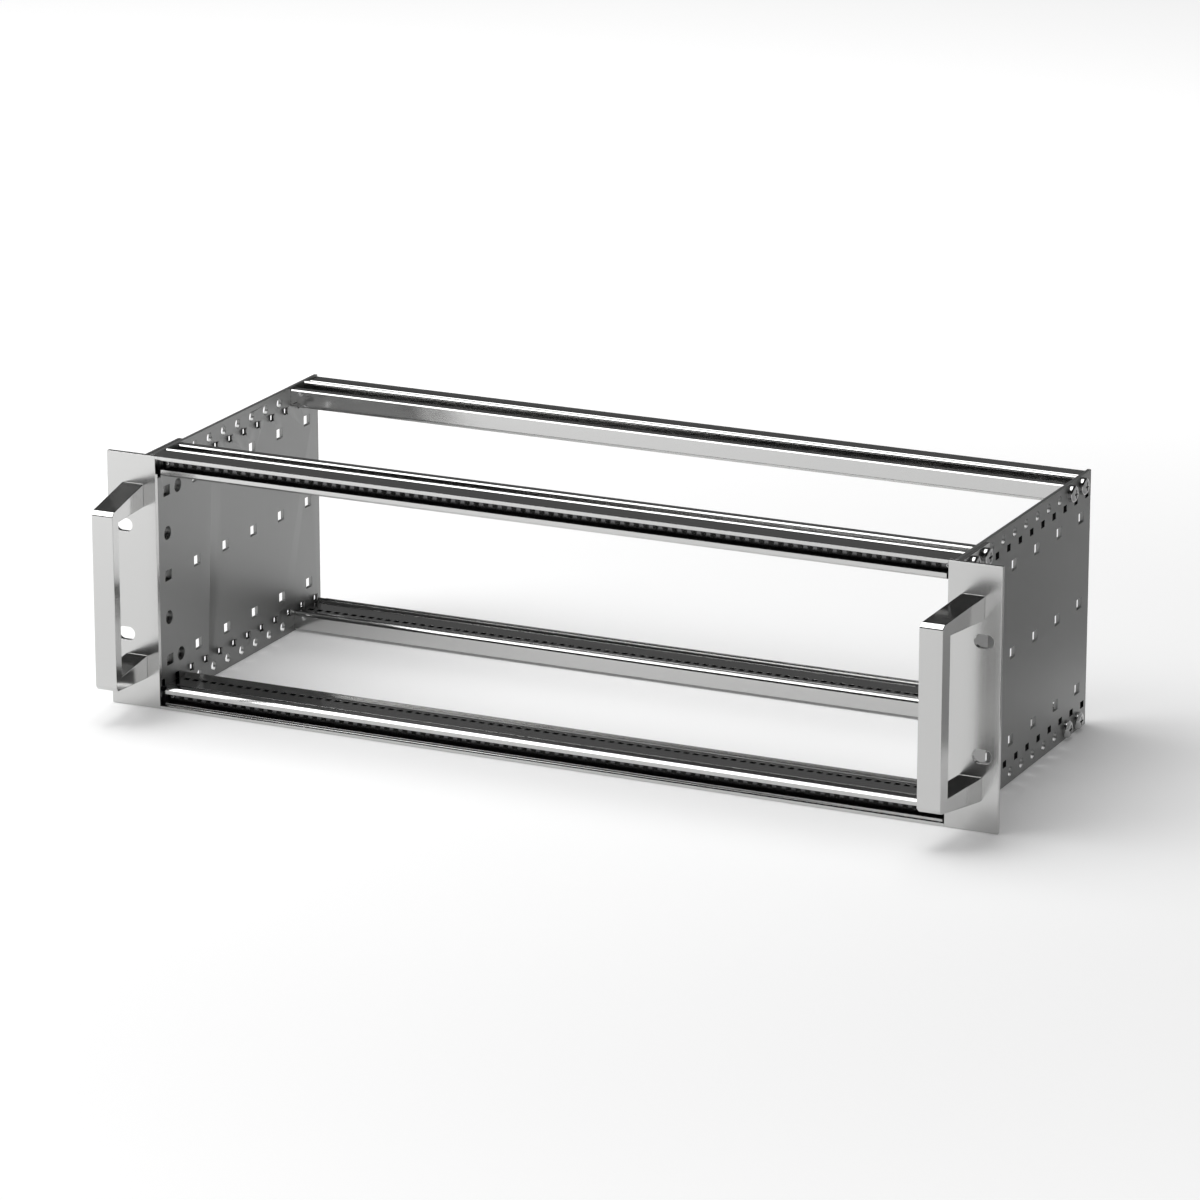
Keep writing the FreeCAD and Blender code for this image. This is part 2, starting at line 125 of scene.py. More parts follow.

# studio: floor, grey card seen only in reflections, world, lamp and camera, in metres and degrees
MATT = 0.9
FLOOR_HALF = 6.0
FLOOR_DROP = 0.0002
FLOOR_FADE = (0.3, 1.3, 0.12, 0.54)
CARD_START = (0.4, -0.13)
CARD_STOP = (0.2, 0.43)
CARD_HEIGHT = 0.16
REFLECTION_CARD_TONE = 0.56
WALL_FADE = (-0.5, 0.5, 0.02, 0.125)
CEILING_FADE = (0.35, 0.6, 1.0, 0.3)
HORIZON_FADE = (0.0, 0.08, 0.9, 0.0)
LAMP_PLACE = (-0.85, -0.2, 1.8)
LAMP_TARGET = (-0.3, 0.05, 0)
LAMP_SIZE = (2.0, 3.0)
LAMP_POWER = 70
VIEW_AZIMUTH = 25.31
VIEW_ELEVATION = 16.845
VIEW_CENTRE = (-14.85, 97.5, -10.345)
VIEW_DISTANCE = 3005.94
VIEW_SENSOR = 36.0
VIEW_LENS = 178.79
VIEW_CLIP = (0.1, 50.0)


# ---------------------------------------------------------------- sizes and colours

class CageSizes(bpy.types.PropertyGroup):
    """Sizes of the fine parts."""

    hole_pitch: FloatProperty(
        name="Hole pitch", description="Distance between the holes along a rail",
        default=5.08 * MM, unit="LENGTH", precision=5)
    hole_count: IntProperty(
        name="Hole count", description="Holes along a rail", default=84, min=2)
    tapped_radius: FloatProperty(
        name="Tapped hole", description="Radius of the tapped holes in the strips",
        default=1.25 * MM, unit="LENGTH", precision=5)
    punch_pitch: FloatProperty(
        name="Punch pitch", description="Distance between the hole columns of a side plate",
        default=15.0 * MM, unit="LENGTH", precision=5)
    punch_edge: FloatProperty(
        name="Punch edge", description="First hole column from the front edge",
        default=12.62 * MM, unit="LENGTH", precision=5)
    screw_edge: FloatProperty(
        name="Screw edge", description="Rail screws from the upper and lower edge",
        default=5.4 * MM, unit="LENGTH", precision=5)
    lance_edge: FloatProperty(
        name="Lance edge", description="Lanced openings from the upper and lower edge",
        default=11.45 * MM, unit="LENGTH", precision=5)
    head_radius: FloatProperty(
        name="Head radius", description="Radius of a screw head",
        default=4.4 * MM, unit="LENGTH", precision=5)
    head_height: FloatProperty(
        name="Head height", description="Height of a screw head",
        default=3.0 * MM, unit="LENGTH", precision=5)
    recess_reach: FloatProperty(
        name="Recess reach", description="Length of one arm of the cross recess",
        default=2.25 * MM, unit="LENGTH", precision=5)
    recess_width: FloatProperty(
        name="Recess width", description="Width of one arm of the cross recess",
        default=1.1 * MM, unit="LENGTH", precision=5)
    edge_round: FloatProperty(
        name="Edge round", description="Rounding of the machined edges",
        default=0.2 * MM, unit="LENGTH", precision=5)
    rail_round: FloatProperty(
        name="Rail round", description="Rounding of the rail edges",
        default=0.06 * MM, unit="LENGTH", precision=5)
    sheet_round: FloatProperty(
        name="Sheet round", description="Rounding of the punched edges",
        default=0.12 * MM, unit="LENGTH", precision=5)
    handle_round: FloatProperty(
        name="Handle round", description="Rounding of the handle edges",
        default=0.45 * MM, unit="LENGTH", precision=5)


class CageColours(bpy.types.PropertyGroup):
    """Colours of the finishes."""

    aluminium: FloatVectorProperty(
        name="Aluminium", description="Base colour of the extruded aluminium",
        subtype="COLOR", default=(0.57, 0.57, 0.565))
    sheet: FloatVectorProperty(
        name="Sheet", description="Base colour of the side plates",
        subtype="COLOR", default=(0.28, 0.282, 0.28))
    steel: FloatVectorProperty(
        name="Steel", description="Base colour of the screws",
        subtype="COLOR", default=(0.5, 0.5, 0.5))
    # painted shade: a near-black colour that stands for the shadow inside the punched holes and
    # lanced openings
    cut: FloatVectorProperty(
        name="Cut", description="Base colour of the dark punched and torn walls",
        subtype="COLOR", default=(0.025, 0.025, 0.025))
    # painted shade: this dark colour stands for the shadow on the strips in the rail recesses
    strip: FloatVectorProperty(
        name="Strip", description="Base colour of the darkened tapped strips",
        subtype="COLOR", default=(0.12, 0.12, 0.122))
    floor: FloatVectorProperty(
        name="Floor", description="Colour of the studio floor",
        subtype="COLOR", default=(0.82, 0.82, 0.82))


# ---------------------------------------------------------------- shader groups

def new_group(name, inputs, outputs):
    """A shader node group with named sockets."""
    group = bpy.data.node_groups.new(name, "ShaderNodeTree")
    for label, kind, value in inputs:
        socket = group.interface.new_socket(label, in_out="INPUT", socket_type=kind)
        if value is not None:
            socket.default_value = value
    for label, kind in outputs:
        group.interface.new_socket(label, in_out="OUTPUT", socket_type=kind)
    return group, group.nodes.new("NodeGroupInput"), group.nodes.new("NodeGroupOutput")


def math_node(tree, operation, first, second=None):
    """A math node with sockets or numbers as inputs."""
    node = tree.nodes.new("ShaderNodeMath")
    node.operation = operation
    for index, value in enumerate((first, second)):
        if value is None:
            continue
        if isinstance(value, (int, float)):
            node.inputs[index].default_value = value
        else:
            tree.links.new(value, node.inputs[index])
    return node.outputs[0]


def smooth_range(tree, value, start, stop, low, high):
    """A value that rises smoothly from low to high between start and stop."""
    node = tree.nodes.new("ShaderNodeMapRange")
    node.interpolation_type = "SMOOTHSTEP"
    for label, number in (("From Min", start), ("From Max", stop),
                          ("To Min", low), ("To Max", high)):
        node.inputs[label].default_value = number
    tree.links.new(value, node.inputs["Value"])
    return node.outputs["Result"]


def build_brushed_group():
    """Fine lines along one axis: a height, and a value that varies the roughness."""
    group, enter, leave = new_group(
        "Brushed lines",
        [("Vector", "NodeSocketVector", None), ("Along", "NodeSocketVector", (4.0, 900.0, 900.0)),
         ("Roughness", "NodeSocketFloat", 0.3), ("Variation", "NodeSocketFloat", 0.08)],
        [("Height", "NodeSocketFloat"), ("Roughness", "NodeSocketFloat")])
    links = group.links
    stretch = group.nodes.new("ShaderNodeVectorMath")
    stretch.operation = "MULTIPLY"
    links.new(enter.outputs["Vector"], stretch.inputs[0])
    links.new(enter.outputs["Along"], stretch.inputs[1])
    lines = group.nodes.new("ShaderNodeTexNoise")
    lines.inputs["Scale"].default_value = 1.0
    lines.inputs["Detail"].default_value = 3.0
    links.new(stretch.outputs[0], lines.inputs["Vector"])
    patches = group.nodes.new("ShaderNodeTexNoise")
    patches.inputs["Scale"].default_value = 18.0
    patches.inputs["Detail"].default_value = 4.0
    links.new(enter.outputs["Vector"], patches.inputs["Vector"])
    mixed = math_node(group, "ADD", lines.outputs["Fac"], patches.outputs["Fac"])
    centred = math_node(group, "SUBTRACT", mixed, 1.0)
    spread = math_node(group, "MULTIPLY", centred, enter.outputs["Variation"])
    rough = math_node(group, "ADD", spread, enter.outputs["Roughness"])
    links.new(lines.outputs["Fac"], leave.inputs["Height"])
    links.new(rough, leave.inputs["Roughness"])
    return group


def build_shade_group():
    """A base colour with slow tone changes."""
    group, enter, leave = new_group(
        "Metal tone",
        [("Vector", "NodeSocketVector", None), ("Colour", "NodeSocketColor", (0.7, 0.7, 0.7, 1)),
         ("Amount", "NodeSocketFloat", 0.05)],
        [("Colour", "NodeSocketColor")])
    links = group.links
    clouds = group.nodes.new("ShaderNodeTexNoise")
    clouds.inputs["Scale"].default_value = 9.0
    clouds.inputs["Detail"].default_value = 5.0
    links.new(enter.outputs["Vector"], clouds.inputs["Vector"])
    centred = math_node(group, "SUBTRACT", clouds.outputs["Fac"], 0.5)
    spread = math_node(group, "MULTIPLY", centred, enter.outputs["Amount"])
    factor = math_node(group, "ADD", spread, 1.0)
    tone = group.nodes.new("ShaderNodeVectorMath")
    tone.operation = "SCALE"
    links.new(enter.outputs["Colour"], tone.inputs[0])
    links.new(factor, tone.inputs["Scale"])
    links.new(tone.outputs[0], leave.inputs["Colour"])
    return group


def shared_group(name, builder):
    """The group with this name, made on first use."""
    return bpy.data.node_groups.get(name) or builder()


def metal(name, colour, roughness, along, line_depth, variation=0.06, tone=0.06):
    """Satin metal whose fine lines run along one axis of the object."""
    material = bpy.data.materials.new(name)
    material.use_nodes = True
    tree = material.node_tree
    shader = tree.nodes["Principled BSDF"]
    shader.inputs["Metallic"].default_value = 1.0
    place = tree.nodes.new("ShaderNodeTexCoord")
    lines = tree.nodes.new("ShaderNodeGroup")
    lines.node_tree = shared_group("Brushed lines", build_brushed_group)
    lines.inputs["Along"].default_value = along
    lines.inputs["Roughness"].default_value = roughness
    lines.inputs["Variation"].default_value = variation
    tree.links.new(place.outputs["Object"], lines.inputs["Vector"])
    shade = tree.nodes.new("ShaderNodeGroup")
    shade.node_tree = shared_group("Metal tone", build_shade_group)
    shade.inputs["Colour"].default_value = (*colour, 1.0)
    shade.inputs["Amount"].default_value = tone
    tree.links.new(place.outputs["Object"], shade.inputs["Vector"])
    bump = tree.nodes.new("ShaderNodeBump")
    bump.inputs["Strength"].default_value = 0.25
    bump.inputs["Distance"].default_value = line_depth
    tree.links.new(lines.outputs["Height"], bump.inputs["Height"])
    tree.links.new(shade.outputs["Colour"], shader.inputs["Base Color"])
    tree.links.new(lines.outputs["Roughness"], shader.inputs["Roughness"])
    tree.links.new(bump.outputs["Normal"], shader.inputs["Normal"])
    return material


# ---------------------------------------------------------------- mesh helpers

def finish_mesh(mesh_data, name, material):
    """Turn a bmesh into a piece that rides on the cage."""
    bmesh.ops.recalc_face_normals(mesh_data, faces=mesh_data.faces)
    mesh = bpy.data.meshes.new(name)
    mesh_data.to_mesh(mesh)
    mesh_data.free()
    mesh.materials.append(material)
    for polygon in mesh.polygons:
        polygon.use_smooth = True
    mesh.set_sharp_from_angle(angle=SHARP_ANGLE)
    piece = bpy.data.objects.new(name, mesh)
    bpy.context.scene.collection.objects.link(piece)
    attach(piece, "root")
    return piece


def merged_copy(node):
    """The CAD node's shape as one clean bmesh with flat faces joined."""
    copy = bmesh.new()
    copy.from_mesh(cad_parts[node].data)
    bmesh.ops.remove_doubles(copy, verts=copy.verts, dist=SAME_POINT)
    bmesh.ops.dissolve_limit(
        copy, angle_limit=SAME_PLANE, verts=copy.verts, edges=copy.edges, delimit=set())
    return copy


def round_edges(piece, width, segments=2, angle=35):
    """Round the sharp edges of a piece with a live bevel."""
    bevel = piece.modifiers.new("edges", "BEVEL")
    bevel.width = width
    bevel.segments = segments
    bevel.limit_method = "ANGLE"
    bevel.angle_limit = math.radians(angle)
    bevel.use_clamp_overlap = False
    bevel.harden_normals = True
    bevel.loop_slide = False
    bevel.miter_outer = "MITER_SHARP"


def round_holes(mesh_data, centres, radius):
    """Turn the flat-sided holes along X around the centres into round ones."""
    def distance(vert, centre):
        return math.hypot(vert.co.y - centre[0], vert.co.z - centre[1])

    def around(vert):
        return next((c for c in centres if abs(distance(vert, c) - radius) < HOLE_PLAY), None)

    corners = []
    for edge in mesh_data.edges:
        first, second = edge.verts
        along = abs(first.co.x - second.co.x) > 0.5 * MM
        if along and around(first) and around(first) == around(second):
            corners.append(edge)
    side = 2 * radius * math.sin(math.pi / 8)
    bmesh.ops.bevel(
        mesh_data, geom=corners, offset=side / 3, affect="EDGES", segments=2, profile=0.5,
        material=-1, offset_type="OFFSET")
    for vert in mesh_data.verts:
        for centre in centres:
            reach = distance(vert, centre)
            if HOLE_BAND[0] * radius < reach < HOLE_BAND[1] * radius:
                vert.co.y = centre[0] + (vert.co.y - centre[0]) * radius / reach
                vert.co.z = centre[1] + (vert.co.z - centre[1]) * radius / reach


def paint_lance_shade(mesh_data, inner, rise, whole):
    """Give the torn walls and under faces of the lanced openings painted shade: the near-black
    second material.
    """
    for face in list(mesh_data.faces):
        centre = face.calc_center_median()
        depth = abs(centre.x) - inner
        in_row = abs(abs(centre.z) - rise) < LANCE_SHADE_BAND and face.calc_area() < LANCE_SHADE_WALL
        if in_row and abs(face.normal.x) < UPRIGHT and 0 < depth < PLATE_THICK:
            face.material_index = 1
        tips = [v for v in face.verts if inner - abs(v.co.x) > TAB_TIP]
        roots = [v for v in face.verts if abs(v.co.x) - inner > TAB_ROOT]
        if len(tips) != 2 or len(roots) != 2:
            continue
        if whole:
            face.material_index = 1
            continue
        # on the right plate the face is split and only the half at the open tip gets the painted
        # shade
        root = max(roots, key=lambda v: abs(v.co.z))
        bmesh.utils.face_split(face, root, min(tips, key=lambda v: abs(v.co.z)))
        open_tip = max(tips, key=lambda v: abs(v.co.z))
        for part in open_tip.link_faces:
            if root in part.verts and all(v in part.verts for v in tips):
                part.material_index = 1


def paint_guide_hole_shade(mesh_data):
    """Give the walls of the small square holes in a rail painted shade: the near-black second
    material.
    """
    for face in mesh_data.faces:
        if abs(face.normal.z) < UPRIGHT and face.calc_area() < GUIDE_SHADE_WALL:
            face.material_index = 1


def add_rings(mesh_data, rings, close_start=False, close_end=False):
    """Join rings of points with quads, and close the ends with flat faces."""
    made = [[mesh_data.verts.new(point) for point in ring] for ring in rings]
    count = len(made[0])
    for lower, upper in zip(made, made[1:]):
        for index in range(count):
            after = (index + 1) % count
            mesh_data.faces.new((lower[index], lower[after], upper[after], upper[index]))
    if close_start:
        mesh_data.faces.new(list(reversed(made[0])))
    if close_end:
        mesh_data.faces.new(made[-1])
    return made


def frame_face(node, side):
    """Where the flat inner face of a side plate lies; its tabs stand further inwards."""
    low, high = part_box(node)
    return low.x + PLATE_THICK if side == "left" else high.x - PLATE_THICK


def sizes():
    return bpy.context.scene.cage_sizes


def colours():
    return bpy.context.scene.cage_colours


# ---------------------------------------------------------------- operators

class CAGE_OT_finishes(bpy.types.Operator):
    """Make the metal finishes"""

    bl_idname = "cage.finishes"
    bl_label = "Metal finishes"

    def execute(self, context):
        for name, tint, roughness, along, line_depth in FINISHES:
            metal(name, getattr(colours(), tint), roughness, along, line_depth)
        return {"FINISHED"}


class CAGE_OT_rails(bpy.types.Operator):
    """Dress the four cross rails, all with square guide holes"""

    bl_idname = "cage.rails"
    bl_label = "Cross rails"

    def execute(self, context):
        for place in ("front", "rear"):
            for level in LEVELS:
                name = "%s_rail_%s" % (place, level)
                shape = merged_copy("%s_rail_bottom" % place)
                if level == "top":
                    bmesh.ops.transform(shape, matrix=OTHER_LEVEL, verts=shape.verts)
                # the walls of the guide holes get painted shade
                paint_guide_hole_shade(shape)
                piece = finish_mesh(
                    shape, name + "_dressed", bpy.data.materials["rail_metal"])
                piece.data.materials.append(bpy.data.materials["painted_shade_metal"])
                round_edges(piece, sizes().rail_round)
                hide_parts(name)
        return {"FINISHED"}


class CAGE_OT_plates(bpy.types.Operator):
    """Dress the side plates with round punched holes"""

    bl_idname = "cage.plates"
    bl_label = "Side plates"

    def execute(self, context):
        edge, pitch = sizes().punch_edge, sizes().punch_pitch
        rise = HALF_HEIGHT - sizes().screw_edge
        low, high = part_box("side_plate_left")
        columns = round((high.y - low.y - 2 * edge) / pitch) + 1
        row = [(edge + pitch * index, sign * rise)
               for index in range(columns) for sign in (1, -1)]
        ports = [(edge, RACK_UNIT / 2), (edge, -RACK_UNIT / 2),
                 (PORT_INSET, RACK_UNIT), (PORT_INSET, -RACK_UNIT)]
        for side in SIDES:
            name = "side_plate_" + side
            shape = merged_copy(name)
            round_holes(shape, row, HOLE_RADIUS)
            round_holes(shape, ports, PORT_RADIUS)
            # the torn walls and under faces of the lanced openings get painted shade
            paint_lance_shade(shape, abs(frame_face(name, side)), HALF_HEIGHT - sizes().lance_edge,
                          side == "left")
            piece = finish_mesh(
                shape, name + "_dressed", bpy.data.materials["plate_metal"])
            piece.data.materials.append(bpy.data.materials["painted_shade_metal"])
            round_edges(piece, sizes().sheet_round, 1)
            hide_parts(name)
        return {"FINISHED"}


class CAGE_OT_flanges(bpy.types.Operator):
    """Dress the rack flanges"""

    bl_idname = "cage.flanges"
    bl_label = "Rack flanges"

    def execute(self, context):
        for side in SIDES:
            name = "rack_flange_" + side
            piece = finish_mesh(
                merged_copy(name), name + "_dressed", bpy.data.materials["flange_metal"])
            round_edges(piece, sizes().edge_round)
            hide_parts(name)
        return {"FINISHED"}


class CAGE_OT_handles(bpy.types.Operator):
    """Dress the handles"""

    bl_idname = "cage.handles"
    bl_label = "Handles"

    def execute(self, context):
        for side in SIDES:
            name = "handle_" + side
            piece = finish_mesh(
                merged_copy(name), name + "_dressed", bpy.data.materials["handle_metal"])
            round_edges(piece, sizes().handle_round, 3)
            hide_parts(name)
        return {"FINISHED"}


def strip_shape(low, high):
    """A flat bar between two corners with a row of tapped holes along X."""
    pitch, count, radius = sizes().hole_pitch, sizes().hole_count, sizes().tapped_radius
    middle = (low.z + high.z) / 2
    half_high = (high.z - low.z) / 2
    shape = bmesh.new()
    angles = [2 * math.pi * step / STRIP_SIDES for step in range(STRIP_SIDES)]
    for index in range(count):
        centre = pitch * (index - (count - 1) / 2)
        left = low.x if index == 0 else centre - pitch / 2
        right = high.x if index == count - 1 else centre + pitch / 2
        rings = []
        for back, reach in ((low.y, None), (low.y, radius + STRIP_SINK),
                            (low.y + STRIP_SINK, radius), (high.y, radius), (high.y, None)):
            ring = []
            for angle in angles:
                across, up = math.cos(angle), math.sin(angle)
                if reach is None:
                    most = max(abs(across), abs(up))
                    side = (right if across > 0 else left) - centre
                    ring.append((centre + abs(across) / most * side, back,
                                 middle + up / most * half_high))
                else:
                    ring.append((centre + across * reach, back, middle + up * reach))
            rings.append(ring)
        made = add_rings(shape, rings)
        front, rear = made[0], made[-1]
        for step in range(STRIP_SIDES):
            after = (step + 1) % STRIP_SIDES
            pair = (front[step].co, front[after].co)
            on_edge = all(abs(abs(point.z - middle) - half_high) < ON_FACE for point in pair)
            at_end = any(all(abs(point.x - end) < ON_FACE for point in pair)
                         for end in (low.x, high.x))
            if on_edge or at_end:
                shape.faces.new((front[step], front[after], rear[after], rear[step]))
    bmesh.ops.remove_doubles(shape, verts=shape.verts, dist=SAME_POINT)
    return shape


class CAGE_OT_strips(bpy.types.Operator):
    """Make the tapped strips with all their holes"""

    bl_idname = "cage.strips"
    bl_label = "Tapped strips"

    def execute(self, context):
        for level in LEVELS:
            name = "thread_strip_" + level
            piece = finish_mesh(
                strip_shape(*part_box(name)), name + "_dressed",
                bpy.data.materials["strip_painted_shade_metal"])
            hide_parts(name)
        return {"FINISHED"}


def screw_frame(seat, direction):
    """Places a shape that stands on its Z axis at a seat, pointing along a direction."""
    turn = Vector(direction).to_track_quat("Z", "Y")
    return Matrix.Translation(seat) @ turn.to_matrix().to_4x4()


def recess_angles():
    """Angles round a screw head, close together at the corners of the cross recess."""
    corner = math.degrees(math.atan2(sizes().recess_width / 2, sizes().recess_reach))
    steps = (-corner, 0, corner, 22, 34, 45, 56, 68)
    return [math.radians(quarter * 90 + step) for quarter in range(4) for step in steps]


def add_screw(mesh_data, seat, direction, shank_radius, shank_length):
    """A pan head screw with a cross recess; the head stands on the seat."""
    radius, height = sizes().head_radius, sizes().head_height
    reach, half_wide = sizes().recess_reach, sizes().recess_width / 2
    angles = recess_angles()

    def cross(angle):
        off = (angle + math.pi / 4) % (math.pi / 2) - math.pi / 4
        arm = reach / math.cos(off)
        return min(arm, half_wide / max(abs(math.sin(off)), 1e-6))

    placed = screw_frame(seat, direction)

    def ring(radii, rise):
        return [placed @ Vector((r * math.cos(a), r * math.sin(a), rise))
                for r, a in zip(radii, angles)]

    count = len(angles)
    profile = ((shank_radius, -shank_length), (shank_radius, 0), (radius, 0),
               (radius, 0.5 * height), (0.985 * radius, 0.62 * height),
               (0.93 * radius, 0.76 * height), (0.83 * radius, 0.88 * height),
               (0.7 * radius, 0.96 * height), (0.6 * radius, height))
    rings = [ring([r] * count, rise) for r, rise in profile]
    mouth = [cross(a) for a in angles]
    rings.append(ring(mouth, height))
    rings.append(ring([0.8 * r for r in mouth], 0.5 * height))
    rings.append(ring([0.3 * r for r in mouth], 0.42 * height))
    add_rings(mesh_data, rings, True, True)


class CAGE_OT_screws(bpy.types.Operator):
    """Make the round screw heads with cross recesses"""

    bl_idname = "cage.screws"
    bl_label = "Screws"

    def execute(self, context):
        for level, sign in (("top", 1), ("bottom", -1)):
            rise = sign * (HALF_HEIGHT - sizes().screw_edge)
            for place in ("front", "rear"):
                name = "%s_screws_%s" % (place, level)
                low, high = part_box(name)
                seat = high.x - sizes().head_height
                middle = (low.y + high.y) / 2
                shape = bmesh.new()
                for side in (1, -1):
                    for back in (-0.5, 0.5):
                        spot = (side * seat, middle + back * sizes().punch_pitch, rise)
                        add_screw(shape, spot, (side, 0, 0), SHANK_RADIUS, RAIL_SHANK)
                self.dress(shape, name, "screw")
            name = "handle_screws_" + level
            low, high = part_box(name)
            shape = bmesh.new()
            for side in (1, -1):
                spot = (side * HANDLE_SCREW_SIDE, high.y - sizes().head_height,
                        (low.z + high.z) / 2)
                add_screw(shape, spot, (0, 1, 0), SHANK_RADIUS, HANDLE_SHANK)
            self.dress(shape, name, "screw")
        for level in LEVELS:
            name = "strip_screws_" + level
            low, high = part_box(name)
            last = sizes().hole_pitch * (sizes().hole_count - 1) / 2
            shape = bmesh.new()
            for side in (1, -1):
                add_set_screw(shape, side * last, (low.z + high.z) / 2, low.y, high.y)
            self.dress(shape, name, "set_screw")
        return {"FINISHED"}

    def dress(self, shape, name, slot):
        piece = finish_mesh(shape, name + "_dressed", bpy.data.materials["screw_metal"])
        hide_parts(name)


def add_set_screw(mesh_data, across, up, front, back):
    """A headless screw along Y with a six-sided socket in front."""
    count = SET_SCREW_SIDES
    angles = [2 * math.pi * step / count for step in range(count)]

    def hexagon(angle):
        off = (angle + math.pi / 6) % (math.pi / 3) - math.pi / 6
        return SOCKET_HALF / math.cos(off)

    def ring(radii, place):
        return [(across + r * math.cos(a), place, up + r * math.sin(a))
                for r, a in zip(radii, angles)]

    radius = SET_SCREW_RADIUS
    socket = [hexagon(a) for a in angles]
    depth = 0.5 * (back - front)
    rings = [ring([radius] * count, back), ring([radius] * count, front + SET_SCREW_EDGE),
             ring([radius - SET_SCREW_EDGE] * count, front), ring(socket, front),
             ring(socket, front + depth)]
    add_rings(mesh_data, rings, True, True)


class CAGE_OT_studio(bpy.types.Operator):
    """Set up the floor, the lights and the camera"""

    bl_idname = "cage.studio"
    bl_label = "Studio"

    def execute(self, context):
        low = CAD_BOX[0]
        make_floor(low.z)
        make_reflection_card(low.z)
        make_world()
        make_lamps()
        make_camera()
        context.scene.view_settings.view_transform = "Standard"
        return {"FINISHED"}


def make_floor(height):
    """A large pale floor, seen and mirrored as white away from the shadow."""
    slab = bmesh.new()
    bmesh.ops.create_grid(slab, x_segments=1, y_segments=1, size=FLOOR_HALF)
    bmesh.ops.translate(slab, verts=slab.verts, vec=(0, 0, height - FLOOR_DROP))
    mesh = bpy.data.meshes.new("floor")
    slab.to_mesh(mesh)
    slab.free()
    floor = bpy.data.objects.new("floor", mesh)
    bpy.context.scene.collection.objects.link(floor)
    material = bpy.data.materials.new("floor_white")
    material.use_nodes = True
    tree = material.node_tree
    shader = tree.nodes["Principled BSDF"]
    shader.inputs["Roughness"].default_value = MATT
    shader.inputs["Specular IOR Level"].default_value = 0.0
    place = tree.nodes.new("ShaderNodeTexCoord")
    rays = tree.nodes.new("ShaderNodeLightPath")
    shader.inputs["Base Color"].default_value = (*colours().floor, 1.0)

    # what the lamp leaves short of white is added as far as the floor is seen or mirrored
    apart = tree.nodes.new("ShaderNodeVectorMath")
    apart.operation = "LENGTH"
    tree.links.new(place.outputs["Object"], apart.inputs[0])
    fade = smooth_range(tree, apart.outputs["Value"], *FLOOR_FADE)
    seen = math_node(tree, "MAXIMUM", rays.outputs["Is Camera Ray"],
                     rays.outputs["Is Transmission Ray"])
    shown = math_node(tree, "MAXIMUM", seen, rays.outputs["Is Glossy Ray"])
    glow = math_node(tree, "MULTIPLY", shown, fade)
    shader.inputs["Emission Color"].default_value = (1, 1, 1, 1)
    tree.links.new(glow, shader.inputs["Emission Strength"])
    mesh.materials.append(material)


def make_reflection_card(height):
    """A grey card upright at the right edge of the picture, which only the metal sees: a painted
    darker reflection on the faces that look to the right.
    """
    sheet = bmesh.new()
    corners = [sheet.verts.new((*spot, height + rise))
               for spot, rise in ((CARD_START, 0), (CARD_STOP, 0),
                                  (CARD_STOP, CARD_HEIGHT), (CARD_START, CARD_HEIGHT))]
    sheet.faces.new(corners)
    mesh = bpy.data.meshes.new("reflection_only_card")
    sheet.to_mesh(mesh)
    sheet.free()
    card = bpy.data.objects.new("reflection_only_card", mesh)
    bpy.context.scene.collection.objects.link(card)
    material = bpy.data.materials.new("reflection_card_grey")
    material.use_nodes = True
    tree = material.node_tree
    shader = tree.nodes["Principled BSDF"]
    shader.inputs["Base Color"].default_value = (REFLECTION_CARD_TONE, REFLECTION_CARD_TONE, REFLECTION_CARD_TONE, 1.0)
    shader.inputs["Roughness"].default_value = MATT
    clear = tree.nodes.new("ShaderNodeBsdfTransparent")
    rays = tree.nodes.new("ShaderNodeLightPath")
    mix = tree.nodes.new("ShaderNodeMixShader")
    # painted reflection: glossy rays see the grey card, all other rays pass through it
    tree.links.new(rays.outputs["Is Glossy Ray"], mix.inputs["Fac"])
    tree.links.new(clear.outputs[0], mix.inputs[1])
    tree.links.new(shader.outputs[0], mix.inputs[2])
    tree.links.new(mix.outputs[0], tree.nodes["Material Output"].inputs["Surface"])
    mesh.materials.append(material)


def make_world():
    """A studio room: pale at the horizon, dark above, darkest in front; the same to every ray."""
    world = bpy.data.worlds.new("studio")
    bpy.context.scene.world = world
    world.use_nodes = True
    tree = world.node_tree
    tree.nodes.clear()
    place = tree.nodes.new("ShaderNodeTexCoord")
    split = tree.nodes.new("ShaderNodeSeparateXYZ")
    tree.links.new(place.outputs["Generated"], split.inputs[0])
    wall = smooth_range(tree, split.outputs["Y"], *WALL_FADE)
    ceiling = smooth_range(tree, split.outputs["Z"], *CEILING_FADE)
    dark = math_node(tree, "MULTIPLY", wall, ceiling)
    pale = smooth_range(tree, split.outputs["Z"], *HORIZON_FADE)
    glow = math_node(tree, "MAXIMUM", dark, pale)
    room = tree.nodes.new("ShaderNodeBackground")
    tree.links.new(glow, room.inputs["Strength"])
    leave = tree.nodes.new("ShaderNodeOutputWorld")
    tree.links.new(room.outputs[0], leave.inputs["Surface"])


def add_lamp(name, place, target, size_x, size_y, power):
    """A rectangular soft lamp aimed at a point."""
    light = bpy.data.lights.new(name, "AREA")
    light.shape = "RECTANGLE"
    light.size = size_x
    light.size_y = size_y
    light.energy = power
    lamp = bpy.data.objects.new(name, light)
    lamp.location = place
    lamp.rotation_mode = "QUATERNION"
    aim = Vector(target) - Vector(place)
    lamp.rotation_quaternion = aim.to_track_quat("-Z", "Y")
    bpy.context.scene.collection.objects.link(lamp)


def make_lamps():
    """One large overhead softbox, moved to the left so that the shadow falls to the right."""
    add_lamp("overhead", LAMP_PLACE, LAMP_TARGET, *LAMP_SIZE, LAMP_POWER)


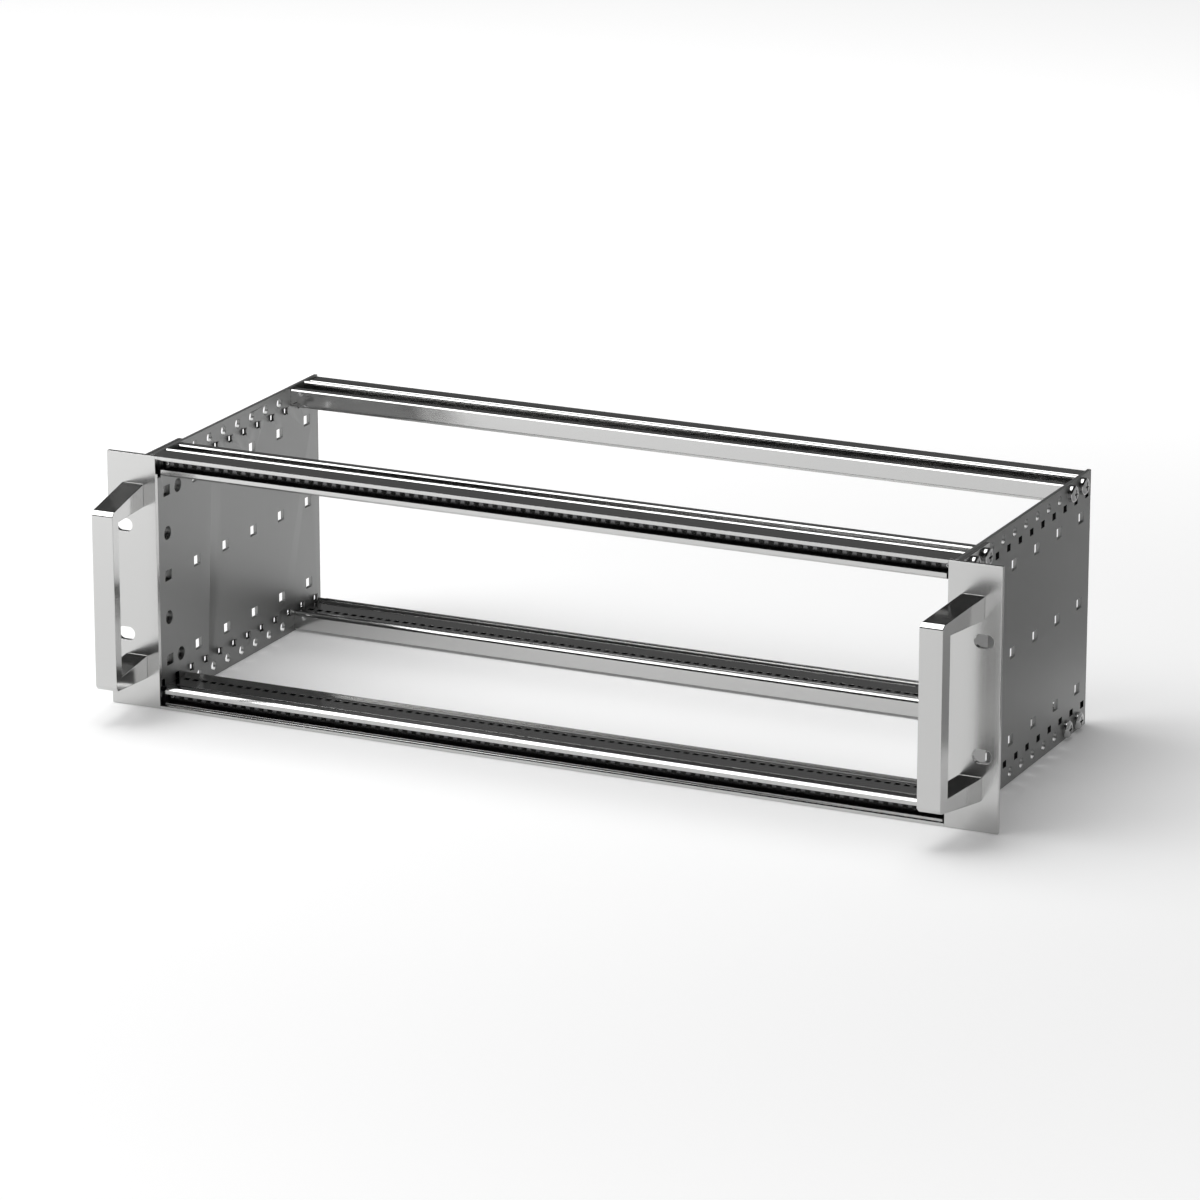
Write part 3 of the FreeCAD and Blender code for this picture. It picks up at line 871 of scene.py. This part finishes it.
def make_camera():
    """The photograph's viewing angle."""
    azimuth, elevation = math.radians(VIEW_AZIMUTH), math.radians(VIEW_ELEVATION)
    back = Vector((math.sin(azimuth) * math.cos(elevation),
                   -math.cos(azimuth) * math.cos(elevation), math.sin(elevation)))
    camera_data = bpy.data.cameras.new("camera")
    camera_data.sensor_width = VIEW_SENSOR
    camera_data.lens = VIEW_LENS
    camera_data.clip_start, camera_data.clip_end = VIEW_CLIP
    camera = bpy.data.objects.new("camera", camera_data)
    camera.location = Vector(VIEW_CENTRE) * MM + back * VIEW_DISTANCE * MM
    camera.rotation_mode = "QUATERNION"
    camera.rotation_quaternion = (-back).to_track_quat("-Z", "Y")
    bpy.context.scene.collection.objects.link(camera)
    bpy.context.scene.camera = camera


# ---------------------------------------------------------------- panel and registration

STEPS = (CAGE_OT_finishes, CAGE_OT_rails, CAGE_OT_plates, CAGE_OT_flanges, CAGE_OT_handles,
         CAGE_OT_strips, CAGE_OT_screws, CAGE_OT_studio)


class CAGE_PT_panel(bpy.types.Panel):
    """Lists the steps in the sidebar"""

    bl_idname = "CAGE_PT_panel"
    bl_label = "Card cage"
    bl_space_type = "VIEW_3D"
    bl_region_type = "UI"
    bl_category = "Card cage"

    def draw(self, context):
        for step in STEPS:
            self.layout.operator(step.bl_idname)
        for group in (context.scene.cage_sizes, context.scene.cage_colours):
            for prop in group.bl_rna.properties:
                if prop.identifier not in ("rna_type", "name"):
                    self.layout.prop(group, prop.identifier)


CLASSES = (CageSizes, CageColours, *STEPS, CAGE_PT_panel)


def register():
    for item in CLASSES:
        bpy.utils.register_class(item)
    bpy.types.Scene.cage_sizes = bpy.props.PointerProperty(type=CageSizes)
    bpy.types.Scene.cage_colours = bpy.props.PointerProperty(type=CageColours)


def unregister():
    del bpy.types.Scene.cage_sizes
    del bpy.types.Scene.cage_colours
    for item in reversed(CLASSES):
        bpy.utils.unregister_class(item)


def main():
    register()
    for step in STEPS:
        group, name = step.bl_idname.split(".")
        getattr(getattr(bpy.ops, group), name)()


if __name__ == "__main__":
    main()
